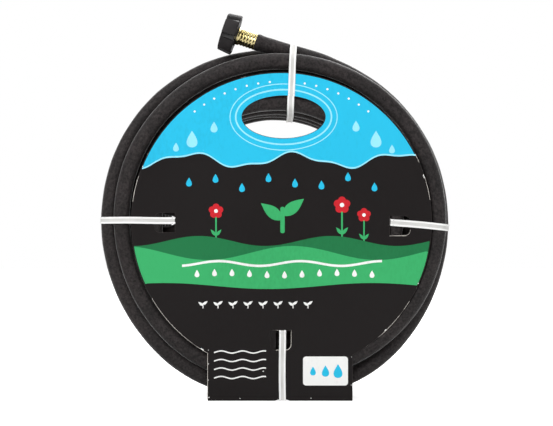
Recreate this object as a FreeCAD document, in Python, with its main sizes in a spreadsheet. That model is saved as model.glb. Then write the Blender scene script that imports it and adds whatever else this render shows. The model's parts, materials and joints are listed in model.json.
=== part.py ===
"""Soaker hose wound into a coil, tied with four flat ties to a folded round display card.

Row frame: +Z up, +Y away from the side that the card faces, origin on the surface that the
card's spine rests on, midway under the coil.  All lengths are in millimetres.
"""
import FreeCAD, Part
import math
import os
import re
import Sketcher

Vector = FreeCAD.Vector
Rotation = FreeCAD.Rotation
Placement = FreeCAD.Placement

UP = Vector(0, 0, 1)
BACKWARD = Vector(0, 1, 0)
FORWARD = Vector(0, -1, 0)

# Driving dimensions: alias and value.
SIZES = [
    # hose
    ("hose_radius", 8.2),
    ("hose_bore", 6.2),
    ("neck_radius", 7.4),
    ("neck_length", 18.0),
    # coil envelope
    ("coil_x", -5.0),
    ("coil_z", 178.0),
    ("coil_inner", 113.5),
    ("coil_outer", 176.0),
    ("coil_depth", 82.8),
    ("coil_round", 12.0),
    # free end of the hose, which leaves the coil near its top
    ("lead_slope", 18.5),
    ("lead_reach", 168.3),
    ("lead_length", 76.7),
    ("lead_y", -18.5),
    ("bed_margin", 1.0),
    # crimped ferrules
    ("ferrule_length", 20.0),
    ("ferrule_root", 7.95),
    ("ferrule_crest", 8.5),
    ("ferrule_ridges", 5),
    ("ferrule_first", 0.3),
    ("ferrule_pitch", 3.2),
    ("ferrule_ramp", 0.7),
    ("ferrule_flat", 0.8),
    ("ferrule_collar", 8.9),
    ("ferrule_collar_start", 16.2),
    ("ferrule_end_wall", 18.2),
    # stems
    ("barb_radius", 5.7),
    ("barb_start", 1.5),
    ("stem_bore", 4.5),
    ("stem_neck", 6.4),
    # swivel of the female end
    ("journal_radius", 8.6),
    ("journal_end", 23.7),
    ("flange_radius", 11.9),
    ("flange_end", 26.0),
    ("nut_start", 20.7),
    ("nut_wall_end", 23.4),
    ("nut_hole", 8.9),
    ("nut_relief", 13.5),
    ("nut_relief_end", 29.1),
    ("nut_thread", 12.45),
    ("nut_end", 35.4),
    ("nut_radius", 19.3),
    ("nut_back_radius", 20.8),
    ("nut_edge", 0.9),
    ("washer_radius", 12.7),
    ("washer_hole", 7.95),
    ("washer_start", 26.3),
    ("restrictor_end", 27.5),
    ("restrictor_orifice", 1.0),
    # male end and its cap
    ("collar_radius", 11.2),
    ("collar_end", 23.6),
    ("undercut_radius", 11.6),
    ("undercut_end", 25.0),
    ("male_thread", 12.7),
    ("male_end", 33.5),
    ("mouth_radius", 8.0),
    ("mouth_start", 28.0),
    ("cap_start", 24.0),
    ("cap_bore", 13.0),
    ("cap_floor", 36.4),
    ("cap_end", 39.2),
    ("cap_radius", 18.6),
    ("cap_dome", 14.0),
    ("cap_washer_start", 33.8),
    ("cap_washer_end", 36.1),
    # grip grooves of nut and cap
    ("grip_count", 6),
    ("grip_depth", 1.7),
    ("grip_width", 5.4),
    ("grip_angle", 43.0),
    # display card
    ("card_thickness", 0.7),
    ("card_radius", 150.0),
    ("card_x", 1.5),
    ("card_z", 178.5),
    ("tab_width", 144.4),
    ("tab_height", 60.0),
    ("flap_height", 52.0),
    ("hand_hole_x", 3.6),
    ("hand_hole_z", 284.0),
    ("hand_hole_width", 84.2),
    ("hand_hole_height", 43.2),
    ("slot_width", 21.4),
    ("slot_height", 20.4),
    ("slot_round", 6.0),
    ("channel_x", 2.4),
    ("channel_width", 8.0),
    ("channel_height", 1.05),
    ("channel_skin", 0.6),
    # ties
    ("tie_width", 7.2),
    ("tie_thickness", 1.0),
    ("tie_over_lead", 6.4),
    ("tie_bend", 0.2),
    ("tie_corner", 11.5),
    ("tie_end_length", 22.0),
    ("tie_end_thickness", 2.4),
    ("tie_end_start", 130.0),
    ("tie_front_gap", 0.1),
    ("tie_back_gap", 0.05),
    ("wire_size", 0.5),
    ("wire_offset", 2.6),
]

# Route of the hose from the end of its innermost turn to the male fitting, all inside the coil.
TAIL_ROUTE = [
    (115.5, -33.2, 166.2),
    (105.8, -33.2, 128.4),
    (81.6, -33.2, 98.2),
    (46.8, -33.0, 80.3),
    (8.4, -30.0, 77.9),
    (-28.6, -24.4, 90.4),
    (-57.0, -18.4, 116.8),
]

# Centres (x, z) of the three slots that the ties go through.
SLOTS = {
    "left": (-115.3, 178.4),
    "right": (119.9, 175.2),
    "bottom": (0.7, 60.8),
}

doc = FreeCAD.newDocument("soaker_hose")
sheet = doc.addObject("Spreadsheet::Sheet", "Sizes")
for row, (alias, value) in enumerate(SIZES, start=1):
    sheet.set("A%d" % row, alias)
    sheet.set("B%d" % row, str(value))
    sheet.setAlias("B%d" % row, alias)
doc.recompute()


def size(alias):
    """Value of one driving dimension."""
    return float(sheet.getPropertyByName(alias))


def amount(text):
    """Number that a sum such as 'nut_end - 2*nut_edge' comes to."""
    total = 0.0
    for term in text.replace("-", "+-").split("+"):
        term = term.strip()
        if not term:
            continue
        value = -1.0 if term.startswith("-") else 1.0
        for factor in term.lstrip("-").split("*"):
            factor = factor.strip()
            value *= float(factor) if factor[0].isdigit() else size(factor)
        total += value
    return total


def formula(text):
    """The same sum as an expression on the sheet."""
    return re.sub(r"([a-z_]+)", r"Sizes.\1", text)


def bind(item, **sums):
    """Bind properties of an object to sums of driving dimensions; double underscores are dots."""
    for name, text in sums.items():
        item.setExpression(name.replace("__", "."), formula(text))


def origin_plane(body, role):
    """Origin plane of a body by its role."""
    return next(item for item in body.Origin.OriginFeatures if item.Role == role)


def new_sketch(body, name, role):
    """Sketch of a body, attached to one of its origin planes."""
    sketch = body.newObject("Sketcher::SketchObject", name)
    sketch.AttachmentSupport = (origin_plane(body, role), [""])
    sketch.MapMode = "FlatFace"
    return sketch


def pin_point(sketch, line, across, along):
    """Fix the start of a line at two sums of driving dimensions."""
    for kind, axis, text in (("DistanceX", -2, across), ("DistanceY", -1, along)):
        if text == "0":
            sketch.addConstraint(Sketcher.Constraint("PointOnObject", line, 1, axis))
        else:
            value = amount(text)
            index = sketch.addConstraint(Sketcher.Constraint(kind, -1, 1, line, 1, value))
            sketch.setExpression("Constraints[%d]" % index, formula(text))


def draw_outline(sketch, outline):
    """Closed outline of straight lines through points given as pairs of sums."""
    points = [Vector(amount(across), amount(along), 0) for across, along in outline]
    count = len(points)
    for index in range(count):
        sketch.addGeometry(Part.LineSegment(points[index], points[(index + 1) % count]))
    for index in range(count):
        following = (index + 1) % count
        sketch.addConstraint(Sketcher.Constraint("Coincident", index, 2, following, 1))
    for index, (across, along) in enumerate(outline):
        pin_point(sketch, index, across, along)


def turned(name, outline, placement):
    """Body turned about its own Z axis from an outline of (radius, station) points."""
    body = doc.addObject("PartDesign::Body", name)
    sketch = new_sketch(body, name + "_profile", "XZ_Plane")
    draw_outline(sketch, outline)
    revolution = body.newObject("PartDesign::Revolution", name + "_turned")
    revolution.Profile = sketch
    revolution.ReferenceAxis = (sketch, ["V_Axis"])
    revolution.Angle = 360
    body.Placement = placement
    doc.recompute()
    return body


LEAST_CUT = 0.7             # of a straight-sided groove's volume, because the body is round


def cut_grips(body, radius, span):
    """Evenly spaced straight grooves along the outside of a turned body."""
    solid_before = body.Shape.Volume
    sketch = new_sketch(body, body.Name + "_groove", "XY_Plane")
    outer = radius + " + grip_depth"
    half = "0.5*grip_width"
    inner = radius + " - grip_depth"
    corners = [(inner, half), (inner, "-" + half), (outer, "-" + half), (outer, half)]
    draw_outline(sketch, corners)
    pocket = body.newObject("PartDesign::Pocket", body.Name + "_grooves")
    pocket.Profile = sketch
    pocket.Type = 1
    pocket.Reversed = True
    pattern = body.newObject("PartDesign::PolarPattern", body.Name + "_grips")
    pattern.Originals = [pocket]
    pattern.Axis = (origin_axis(body), [""])
    pattern.Angle = 360
    pattern.Occurrences = int(size("grip_count"))
    body.Tip = pattern
    doc.recompute()
    removed = solid_before - body.Shape.Volume
    one_groove = size("grip_depth") * size("grip_width") * (amount(span[1]) - amount(span[0]))
    if removed < LEAST_CUT * size("grip_count") * one_groove:
        raise RuntimeError("grip grooves of %s cut too little" % body.Name)
    return body


def origin_axis(body):
    """Z axis of a body."""
    return next(item for item in body.Origin.OriginFeatures if item.Role == "Z_Axis")


def primitive(kind, name, base=(0, 0, 0), rotation=None, **sums):
    """Part primitive with sizes bound to the sheet."""
    item = doc.addObject("Part::" + kind, name)
    item.Placement = Placement(Vector(*base), rotation or Rotation())
    bind(item, **sums)
    return item


def joined(name, *pieces):
    """Union of several objects."""
    item = doc.addObject("Part::MultiFuse", name)
    item.Shapes = list(pieces)
    return item


def cut(name, base, tool):
    """One object less another."""
    item = doc.addObject("Part::Cut", name)
    item.Base = base
    item.Tool = tool
    return item


# ---------------------------------------------------------------- axes of the two hose ends

slope = math.radians(size("lead_slope"))
lead_axis = Vector(-math.cos(slope), 0, math.sin(slope))
coil_centre = Vector(size("coil_x"), 0, size("coil_z"))
lead_start = coil_centre + Vector(math.sin(slope), 0, math.cos(slope)) * size("lead_reach")
lead_start.y = size("lead_y")
lead_end = lead_start + lead_axis * size("lead_length")
tail_points = [Vector(*point) for point in TAIL_ROUTE]
tail_end = tail_points[-1]
tail_axis = (tail_points[-1] - tail_points[-2]).normalize()


def along_axis(origin, axis, roll=0.0):
    """Placement with Z along an axis, X towards the front, then turned about Z by roll degrees."""
    side = axis.cross(FORWARD).normalize()
    front = side.cross(axis).normalize()
    upright = Rotation(front, side, axis, "ZXY")
    return Placement(origin, upright * Rotation(UP, roll))


inlet_place = along_axis(lead_end, lead_axis)
outlet_place = along_axis(tail_end, tail_axis)
lead_place = along_axis(lead_start, lead_axis)
inlet_grip_place = along_axis(lead_end, lead_axis, size("grip_angle"))
outlet_grip_place = along_axis(tail_end, tail_axis, size("grip_angle"))


# ---------------------------------------------------------------- hose

ARC_SHARE = 0.45            # how much of the shorter run beside a corner its arc takes up


def bent_path(points):
    """Straight runs joined by tangent arcs, as large as each pair of runs allows."""
    runs = [b - a for a, b in zip(points, points[1:])]
    edges = []
    radii = []
    here = points[0]
    for corner, before, after in zip(points[1:-1], runs, runs[1:]):
        half_turn = before.getAngle(after) / 2
        reach = ARC_SHARE * min(before.Length, after.Length)
        radius = reach / math.tan(half_turn)
        start = corner - before.normalize() * reach
        finish = corner + Vector(after).normalize() * reach
        inward = (start + finish) * 0.5 - corner
        middle = corner + inward.normalize() * (radius / math.cos(half_turn) - radius)
        edges.append(Part.LineSegment(here, start).toShape())
        edges.append(Part.Arc(start, middle, finish).toShape())
        radii.append(radius)
        here = finish
    edges.append(Part.LineSegment(here, points[-1]).toShape())
    return Part.Wire(edges), radii


def tail_sweep(name, radius_name):
    """Solid rod along the tail's path."""
    ring = primitive("Circle", name + "_ring", Radius=radius_name)
    first_run = tail_points[1] - tail_points[0]
    ring.Placement = Placement(tail_points[0], Rotation(UP, first_run))
    sweep = doc.addObject("Part::Sweep", name)
    sweep.Sections = [ring]
    sweep.Spine = (tail_path, [])
    sweep.Solid = True
    sweep.Frenet = False
    return sweep


tail_path = doc.addObject("Part::Feature", "tail_path")
tail_path.Shape, tail_radii = bent_path(tail_points)
print("tail bend radii", [round(radius, 1) for radius in tail_radii])

tail_rod = tail_sweep("tail_rod", "hose_radius")
tail_core = tail_sweep("tail_core", "hose_bore")
tail_tube = cut("tail_tube", tail_rod, tail_core)
neck_rod = primitive("Cylinder", "tail_neck_rod", Radius="neck_radius", Height="neck_length")
neck_core = primitive("Cylinder", "tail_neck_core", Radius="barb_radius", Height="neck_length")
for item in (neck_rod, neck_core):
    item.Placement = outlet_place
tail_neck = cut("tail_neck", neck_rod, neck_core)
hose_tail = joined("hose_tail", tail_tube, tail_neck)

hose_lead = turned("hose_lead", [
    ("hose_bore", "0"),
    ("hose_radius", "0"),
    ("hose_radius", "lead_length"),
    ("neck_radius", "lead_length"),
    ("neck_radius", "lead_length + neck_length"),
    ("barb_radius", "lead_length + neck_length"),
    ("barb_radius", "lead_length"),
    ("hose_bore", "lead_length"),
], lead_place)

coil_ring = turned("coil_ring", [
    ("coil_inner", "0"),
    ("coil_outer", "0"),
    ("coil_outer", "coil_depth"),
    ("coil_inner", "coil_depth"),
], Placement(coil_centre + FORWARD * (size("coil_depth") / 2), Rotation(UP, BACKWARD)))
ring_fillet = coil_ring.newObject("PartDesign::Fillet", "coil_rounding")
ring_edges = coil_ring.Group[-2].Shape.Edges
circle_names = ["Edge%d" % (index + 1) for index, edge in enumerate(ring_edges)
                if edge.Closed and edge.Curve.TypeId == "Part::GeomCircle"]
ring_fillet.Base = (coil_ring.Group[-2], circle_names)
bind(ring_fillet, Radius="coil_round")
doc.recompute()

lead_bed = primitive("Cylinder", "lead_bed", Radius="hose_radius", Height="lead_length")
lead_bed.Placement = lead_place
ferrule_bed = primitive("Cylinder", "ferrule_bed", Radius="ferrule_collar + 0.3*bed_margin",
                        Height="ferrule_length + bed_margin")
ferrule_bed.Placement = inlet_place
beds = joined("beds", lead_bed, ferrule_bed, tail_rod)
hose_coil = cut("hose_coil", coil_ring, beds)


# ---------------------------------------------------------------- fittings

def ferrule_outline():
    """Crimped shell with annular ridges, a collar and an end wall behind the stem's neck."""
    outline = [("neck_radius", "0"), ("ferrule_root", "0")]
    for ridge in range(int(size("ferrule_ridges"))):
        foot = "ferrule_first + %d*ferrule_pitch" % ridge
        outline += [
            ("ferrule_root", foot),
            ("ferrule_crest", foot + " + ferrule_ramp"),
            ("ferrule_crest", foot + " + ferrule_ramp + ferrule_flat"),
            ("ferrule_root", foot + " + 2*ferrule_ramp + ferrule_flat"),
        ]
    return outline + [
        ("ferrule_root", "ferrule_collar_start"),
        ("ferrule_collar", "ferrule_collar_start"),
        ("ferrule_collar", "ferrule_length"),
        ("stem_neck", "ferrule_length"),
        ("stem_neck", "ferrule_end_wall"),
        ("neck_radius", "ferrule_end_wall"),
    ]


inlet_ferrule = turned("inlet_ferrule", ferrule_outline(), inlet_place)
outlet_ferrule = turned("outlet_ferrule", ferrule_outline(), outlet_place)

inlet_stem = turned("inlet_stem", [
    ("stem_bore", "barb_start"),
    ("barb_radius", "barb_start"),
    ("barb_radius", "ferrule_end_wall"),
    ("stem_neck", "ferrule_end_wall"),
    ("stem_neck", "ferrule_length"),
    ("journal_radius", "ferrule_length"),
    ("journal_radius", "journal_end"),
    ("flange_radius", "journal_end"),
    ("flange_radius", "flange_end"),
    ("stem_bore", "flange_end"),
], inlet_place)

outlet_stem = turned("outlet_stem", [
    ("stem_bore", "barb_start"),
    ("barb_radius", "barb_start"),
    ("barb_radius", "ferrule_end_wall"),
    ("stem_neck", "ferrule_end_wall"),
    ("stem_neck", "ferrule_length"),
    ("collar_radius", "ferrule_length"),
    ("collar_radius", "collar_end"),
    ("undercut_radius", "collar_end"),
    ("undercut_radius", "undercut_end"),
    ("male_thread", "undercut_end"),
    ("male_thread", "male_end"),
    ("mouth_radius", "male_end"),
    ("mouth_radius", "mouth_start"),
    ("stem_bore", "mouth_start"),
], outlet_place)

inlet_nut = turned("inlet_nut", [
    ("nut_hole", "nut_start"),
    ("nut_back_radius - nut_edge", "nut_start"),
    ("nut_back_radius", "nut_start + nut_edge"),
    ("nut_radius", "nut_end - nut_edge"),
    ("nut_radius - nut_edge", "nut_end"),
    ("nut_thread", "nut_end"),
    ("nut_thread", "nut_relief_end"),
    ("nut_relief", "nut_relief_end"),
    ("nut_relief", "nut_wall_end"),
    ("nut_hole", "nut_wall_end"),
], inlet_grip_place)
cut_grips(inlet_nut, "nut_radius", ("nut_start", "nut_end"))

inlet_washer = turned("inlet_washer", [
    ("washer_hole", "washer_start"),
    ("washer_radius", "washer_start"),
    ("washer_radius", "nut_relief_end"),
    ("washer_hole", "nut_relief_end"),
], inlet_place)

flow_restrictor = turned("flow_restrictor", [
    ("restrictor_orifice", "washer_start"),
    ("washer_hole", "washer_start"),
    ("washer_hole", "restrictor_end"),
    ("restrictor_orifice", "restrictor_end"),
], inlet_place)

end_cap = turned("end_cap", [
    ("cap_bore", "cap_start"),
    ("cap_radius - nut_edge", "cap_start"),
    ("cap_radius", "cap_start + nut_edge"),
    ("cap_radius", "cap_floor"),
    ("cap_dome", "cap_end"),
    ("0", "cap_end"),
    ("0", "cap_floor"),
    ("cap_bore", "cap_floor"),
], outlet_grip_place)
cut_grips(end_cap, "cap_radius", ("cap_start", "cap_floor"))

cap_washer = turned("cap_washer", [
    ("washer_hole", "cap_washer_start"),
    ("washer_radius", "cap_washer_start"),
    ("washer_radius", "cap_washer_end"),
    ("washer_hole", "cap_washer_end"),
], outlet_place)


# ---------------------------------------------------------------- display card

coil_half = size("coil_depth") / 2
card_front = -coil_half - size("card_thickness")
fold_depth = size("coil_depth") + 2 * size("card_thickness")
half_tab = size("tab_width") / 2

disc = primitive("Cylinder", "card_disc", (size("card_x"), -coil_half, size("card_z")),
                 Rotation(UP, FORWARD), Radius="card_radius", Height="card_thickness")
tab = primitive("Box", "card_tab", (-half_tab, card_front, 0),
                Length="tab_width", Width="card_thickness", Height="tab_height")
spine = primitive("Box", "card_spine", (-half_tab, card_front, 0),
                  Length="tab_width", Width="coil_depth + 2*card_thickness", Height="card_thickness")
flap = primitive("Box", "card_flap", (-half_tab, coil_half, 0),
                 Length="tab_width", Width="card_thickness", Height="flap_height")

channel_left = size("channel_x") - size("channel_width") / 2
channel_block = primitive("Box", "channel_block", (channel_left - size("channel_skin"), card_front, 0),
                          Length="channel_width + 2*channel_skin",
                          Width="coil_depth + 2*card_thickness",
                          Height="channel_height + channel_skin")
margin = size("bed_margin")
channel_void = primitive("Box", "channel_void", (channel_left, card_front - margin, -margin),
                         Length="channel_width",
                         Width="coil_depth + 2*card_thickness + 2*bed_margin",
                         Height="channel_height + bed_margin")

hand_oval = primitive("Ellipse", "hand_hole_outline",
                      (size("hand_hole_x"), 0, size("hand_hole_z")), Rotation(Vector(1, 0, 0), 90),
                      MajorRadius="0.5*hand_hole_width", MinorRadius="0.5*hand_hole_height")
hand_hole = doc.addObject("Part::Extrusion", "hand_hole")
hand_hole.Base = hand_oval
hand_hole.DirMode = "Custom"
hand_hole.Dir = FORWARD
hand_hole.Solid = True
bind(hand_hole, LengthFwd="coil_depth")


def slot_cutter(name, centre, flat_side):
    """Nearly square slot: the side nearer the card's middle is straight, the far corners round."""
    wide, tall = size("slot_width"), size("slot_height")
    low_corner = (centre[0] - wide / 2, card_front - margin, centre[1] - tall / 2)
    box = primitive("Box", name + "_block", low_corner, Length="slot_width",
                    Width="card_thickness + 2*bed_margin", Height="slot_height")
    doc.recompute()
    picked = []
    for index, edge in enumerate(box.Shape.Edges, start=1):
        offset = edge.CenterOfMass - Vector(centre[0], edge.CenterOfMass.y, centre[1])
        runs_through = abs(edge.tangentAt(edge.FirstParameter).y) > 0.9
        if runs_through and offset.dot(flat_side) < 0:
            picked.append((index, size("slot_round"), size("slot_round")))
    rounded = doc.addObject("Part::Fillet", name)
    rounded.Base = box
    rounded.Edges = picked
    return rounded


slot_sides = {"left": Vector(1, 0, 0), "right": Vector(-1, 0, 0), "bottom": UP}
slots = [slot_cutter(side + "_slot", SLOTS[side], slot_sides[side]) for side in SLOTS]

card_sheet = joined("card_sheet", disc, tab, spine, flap, channel_block)
card_cutters = joined("card_cutters", channel_void, hand_hole, *slots)
display_card = cut("display_card", card_sheet, card_cutters)


# ---------------------------------------------------------------- ties

bend = size("tie_bend")
corner = size("tie_corner")
inner_wall = size("coil_inner")
outer_wall = size("coil_outer")
front_face = card_front - size("tie_front_gap")
back_face = coil_half + size("card_thickness") + size("tie_back_gap")
over_lead = outer_wall + size("tie_over_lead")
under_spine = size("coil_z") - size("tie_thickness")

# Each tie: direction from the coil's centre in degrees from +X towards +Z, its shift sideways,
# and the corners of its inner face as (distance from the coil's axis, depth, corner radius).
TIES = {
    "tie_top": (87.2, -9.95, [
        (inner_wall - 1.2, front_face, corner),
        (outer_wall - 4.5, front_face, 9.0),
        (over_lead, size("lead_y") - 8.0, 5.0),
        (over_lead, size("lead_y") + 8.0, 5.0),
        (outer_wall + 0.3, back_face, corner),
        (inner_wall - 1.2, back_face, corner),
    ]),
    "tie_left": (180.0, -2.6, [
        (101.0, front_face, bend),
        (outer_wall + 0.2, front_face, corner),
        (outer_wall + 0.2, back_face, corner),
        (inner_wall - 0.4, back_face, corner),
    ]),
    "tie_right": (-5.1, 10.9, [
        (115.6, front_face, bend),
        (outer_wall + 0.2, front_face, corner),
        (outer_wall + 0.2, back_face, corner),
        (inner_wall - 1.4, back_face, corner),
        (inner_wall - 1.4, -31.0, 3.0),
    ]),
    "tie_bottom": (-90.0, 7.4, [
        (108.25, front_face, bend),
        (under_spine, front_face, bend),
        (under_spine, back_face, bend),
        (inner_wall - 0.6, back_face, corner),
    ]),
}


def widened(corners, step):
    """Corners of a counter-clockwise loop moved outward by a step, with larger corner radii."""
    moved = []
    count = len(corners)
    for index in range(count):
        before, here, after = corners[index - 1], corners[index], corners[(index + 1) % count]
        first = Vector(here[0] - before[0], here[1] - before[1], 0).normalize()
        second = Vector(after[0] - here[0], after[1] - here[1], 0).normalize()
        outward = Vector(first.y + second.y, -first.x - second.x, 0).normalize()
        length = step / outward.dot(Vector(first.y, -first.x, 0))
        spot = Vector(here[0], here[1], 0) + outward * length
        moved.append((spot.x, spot.y, here[2] + step))
    return moved


def draw_loop(sketch, corners):
    """Closed loop of straight runs with an arc at each corner."""
    count = len(corners)
    starts, ends, arcs = [], [], []
    for index in range(count):
        before, here, after = [Vector(*corners[(index + shift) % count][:2], 0) for shift in (-1, 0, 1)]
        radius = corners[index][2]
        back = (before - here).normalize()
        forth = (after - here).normalize()
        half = back.getAngle(forth) / 2
        reach = radius / math.tan(half)
        centre = here + (back + forth).normalize() * (radius / math.sin(half))
        middle = centre + (here - centre).normalize() * radius
        starts.append(here + back * reach)
        ends.append(here + forth * reach)
        arcs.append(Part.Arc(starts[-1], middle, ends[-1]))
    for index in range(count):
        sketch.addGeometry(arcs[index])
        sketch.addGeometry(Part.LineSegment(ends[index], starts[(index + 1) % count]))


def band(name, corners, low, high, width, place):
    """Flat band whose faces lie two steps outside a loop, as wide as one driving dimension."""
    sketch = doc.addObject("Sketcher::SketchObject", name + "_outline")
    draw_loop(sketch, widened(corners, low) if low else corners)
    draw_loop(sketch, widened(corners, high))
    sketch.Placement = place
    extrusion = doc.addObject("Part::Extrusion", name)
    extrusion.Base = sketch
    extrusion.DirMode = "Normal"
    extrusion.Solid = True
    extrusion.Symmetric = True
    bind(extrusion, LengthFwd=width)
    return extrusion


def make_tie(name):
    """Flat tie round the coil with its twisted end at the back, and the two wires inside it."""
    angle, shift, corners = TIES[name]
    turn = Rotation(BACKWARD, -angle)
    place = Placement(coil_centre + turn.multVec(UP) * shift, turn)
    thickness = size("tie_thickness")
    strap = band(name + "_strap", corners, 0, thickness, "tie_width", place)
    end_corner = Vector(size("tie_end_start"), back_face + 0.5 * thickness, -size("tie_width") / 2)
    twisted_end = primitive("Box", name + "_end", Length="tie_end_length",
                            Width="tie_end_thickness", Height="tie_width")
    twisted_end.Placement = Placement(place.multVec(end_corner), turn)
    whole = joined(name + "_whole", strap, twisted_end)
    wire_gap = (thickness - size("wire_size")) / 2
    wires = []
    for side in (-1, 1):
        wire_place = Placement(place.multVec(UP * size("wire_offset") * side), turn)
        wires.append(band(name + "_wire_%d" % (side + 2), corners, wire_gap,
                          thickness - wire_gap, "wire_size", wire_place))
    pair = joined(name + "_wires", *wires)
    return cut(name, whole, pair), pair


NODES = [hose_coil, hose_lead, hose_tail, inlet_stem, inlet_ferrule, inlet_nut, inlet_washer,
         flow_restrictor, outlet_stem, outlet_ferrule, end_cap, cap_washer, display_card]
for tie_name in TIES:
    NODES += make_tie(tie_name)

doc.recompute()

# ---------------------------------------------------------------- checks and files

for item in doc.Objects:
    if "Invalid" in item.State or "Error" in item.State:
        raise RuntimeError("%s failed to compute: %s" % (item.Name, item.State))
for node in NODES:
    if node.Shape.isNull() or not node.Shape.isValid() or not node.Shape.Solids:
        raise RuntimeError("%s has no valid solid" % node.Name)

annulus = math.pi * (size("hose_radius") ** 2 - size("hose_bore") ** 2)
print("tail tube volume %.0f, section times length %.0f"
      % (tail_tube.Shape.Volume, annulus * tail_path.Shape.Length))

os.makedirs("parts", exist_ok=True)
for node in NODES:
    node.Label = node.Name
    node.Shape.exportStep("parts/%s.step" % node.Label)
    box = node.Shape.optimalBoundingBox(True, False)
    print("%-18s solids %d volume %10.1f  x %.1f..%.1f  y %.1f..%.1f  z %.1f..%.1f"
          % (node.Label, len(node.Shape.Solids), node.Shape.Volume,
             box.XMin, box.XMax, box.YMin, box.YMax, box.ZMin, box.ZMax))
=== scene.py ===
import json
import math
import random
from math import cos, pi, radians, sin, sqrt
import bpy
import bmesh
from mathutils import Matrix, Vector
from mathutils.geometry import convex_hull_2d, delaunay_2d_cdt


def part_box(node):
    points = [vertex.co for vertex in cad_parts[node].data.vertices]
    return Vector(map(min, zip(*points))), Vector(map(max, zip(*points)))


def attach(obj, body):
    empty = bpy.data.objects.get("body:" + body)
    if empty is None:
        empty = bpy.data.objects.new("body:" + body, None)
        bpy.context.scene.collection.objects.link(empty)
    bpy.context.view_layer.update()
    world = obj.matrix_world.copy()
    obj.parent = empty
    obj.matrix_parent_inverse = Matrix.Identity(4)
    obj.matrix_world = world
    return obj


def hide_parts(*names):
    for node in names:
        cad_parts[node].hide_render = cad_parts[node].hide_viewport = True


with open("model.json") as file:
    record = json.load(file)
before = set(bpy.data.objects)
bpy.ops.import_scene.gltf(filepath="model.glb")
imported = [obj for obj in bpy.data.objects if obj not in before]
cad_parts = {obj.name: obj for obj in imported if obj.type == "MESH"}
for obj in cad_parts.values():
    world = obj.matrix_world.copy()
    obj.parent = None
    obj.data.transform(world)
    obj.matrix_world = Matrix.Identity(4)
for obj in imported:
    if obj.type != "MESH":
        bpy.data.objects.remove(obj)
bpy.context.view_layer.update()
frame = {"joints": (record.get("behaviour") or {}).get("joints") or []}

# Lengths are in millimetres until a point is placed; MM turns them into metres.
MM = 0.001
Y = Vector((0, 1, 0))
JOINTS = {joint["name"]: joint for joint in frame["joints"]}
scene = bpy.context.scene

# ---------------- small tools


def smooth(value):
    """0 below 0, 1 above 1, and an even S between them."""
    value = min(max(value, 0.0), 1.0)
    return value * value * (3 - 2 * value)


def swell(angle, middle, width):
    """1 at an angle in degrees, fading to 0 either side of it."""
    away = (angle - middle + 180) % 360 - 180
    return math.exp(-(away / width) ** 2)


def even_steps(first, last, count):
    """Evenly spaced values from first to last, both included."""
    return [first + (last - first) * step / count for step in range(count + 1)]


def full_turn(count):
    """Evenly spaced angles of a full turn."""
    return [2 * pi * step / count for step in range(count)]


def polar(x, z, reach, turn):
    """Point at a distance and an angle from a place."""
    return x + reach * cos(turn), z + reach * sin(turn)


def add_object(name, data):
    """Object in the scene that shows some data."""
    made = bpy.data.objects.new(name, data)
    scene.collection.objects.link(made)
    return made


def mesh_of(name, points, faces, sharp=None, finishes=None):
    """Mesh in metres from points in millimetres, smooth but for edges sharper than an angle."""
    mesh = bpy.data.meshes.new(name)
    mesh.from_pydata([tuple(point * MM) for point in points], [], faces)
    if finishes:
        mesh.polygons.foreach_set("material_index", finishes)
    tidy = bmesh.new()
    tidy.from_mesh(mesh)
    bmesh.ops.remove_doubles(tidy, verts=tidy.verts, dist=2e-7)
    bmesh.ops.recalc_face_normals(tidy, faces=tidy.faces)
    for face in tidy.faces:
        face.smooth = True
    if sharp is not None:
        for edge in tidy.edges:
            if len(edge.link_faces) != 2 or edge.calc_face_angle(0) > radians(sharp):
                edge.smooth = False
    tidy.to_mesh(mesh)
    tidy.free()
    return mesh


def add_piece(name, form, materials, body="root", replaces=(), sharp=None, finishes=None):
    """Object of some points and faces that rides on a body and stands for CAD nodes."""
    mesh = mesh_of(name, *form, sharp, finishes)
    for material in materials:
        mesh.materials.append(material)
    piece = add_object(name, mesh)
    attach(piece, body)
    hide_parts(*replaces)
    return piece


def skin(rings, closed=False):
    """Faces between rings of equal length, and over both ends of an open row of rings."""
    sides = len(rings[0])
    count = len(rings)
    faces = []
    for ring in range(count if closed else count - 1):
        low, high = ring * sides, (ring + 1) % count * sides
        for side in range(sides):
            following = (side + 1) % sides
            faces.append((low + side, low + following, high + following, high + side))
    if not closed:
        faces.append(tuple(range(sides))[::-1])
        faces.append(tuple((count - 1) * sides + side for side in range(sides)))
    return [point for ring in rings for point in ring], faces


def join_parts(parts):
    """One list of points and one of faces from several."""
    points, faces = [], []
    for part_points, part_faces in parts:
        start = len(points)
        points += part_points
        faces += [tuple(start + index for index in face) for face in part_faces]
    return points, faces


def nurbs_points(control, resolution):
    """Points along the smooth NURBS spline of some control points."""
    data = bpy.data.curves.new("route", "CURVE")
    data.dimensions = "3D"
    data.resolution_u = resolution
    spline = data.splines.new("NURBS")
    spline.points.add(len(control) - 1)
    for point, place in zip(spline.points, control):
        point.co = (*place, 1.0)
    spline.order_u = 3
    spline.use_endpoint_u = True
    holder = bpy.data.objects.new("route", data)
    line = bpy.data.meshes.new_from_object(holder)
    points = [vertex.co.copy() for vertex in line.vertices]
    bpy.data.meshes.remove(line)
    bpy.data.objects.remove(holder)
    bpy.data.curves.remove(data)
    return points


def travelled(points):
    """Distance along a line of points to each of them."""
    total = [0.0]
    for before, after in zip(points, points[1:]):
        total.append(total[-1] + (after - before).length)
    return total


def tube_rings(points, radii, sides, side):
    """Rings round a line, turned as little as possible from one to the next."""
    rings = []
    last = len(points) - 1
    for index, (point, radius) in enumerate(zip(points, radii)):
        ahead = (points[min(index + 1, last)] - points[max(index - 1, 0)]).normalized()
        side = (side - ahead * side.dot(ahead)).normalized()
        other = ahead.cross(side)
        rings.append([point + (side * cos(turn) + other * sin(turn)) * radius for turn in full_turn(sides)])
    return rings


# ---------------- camera

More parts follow.
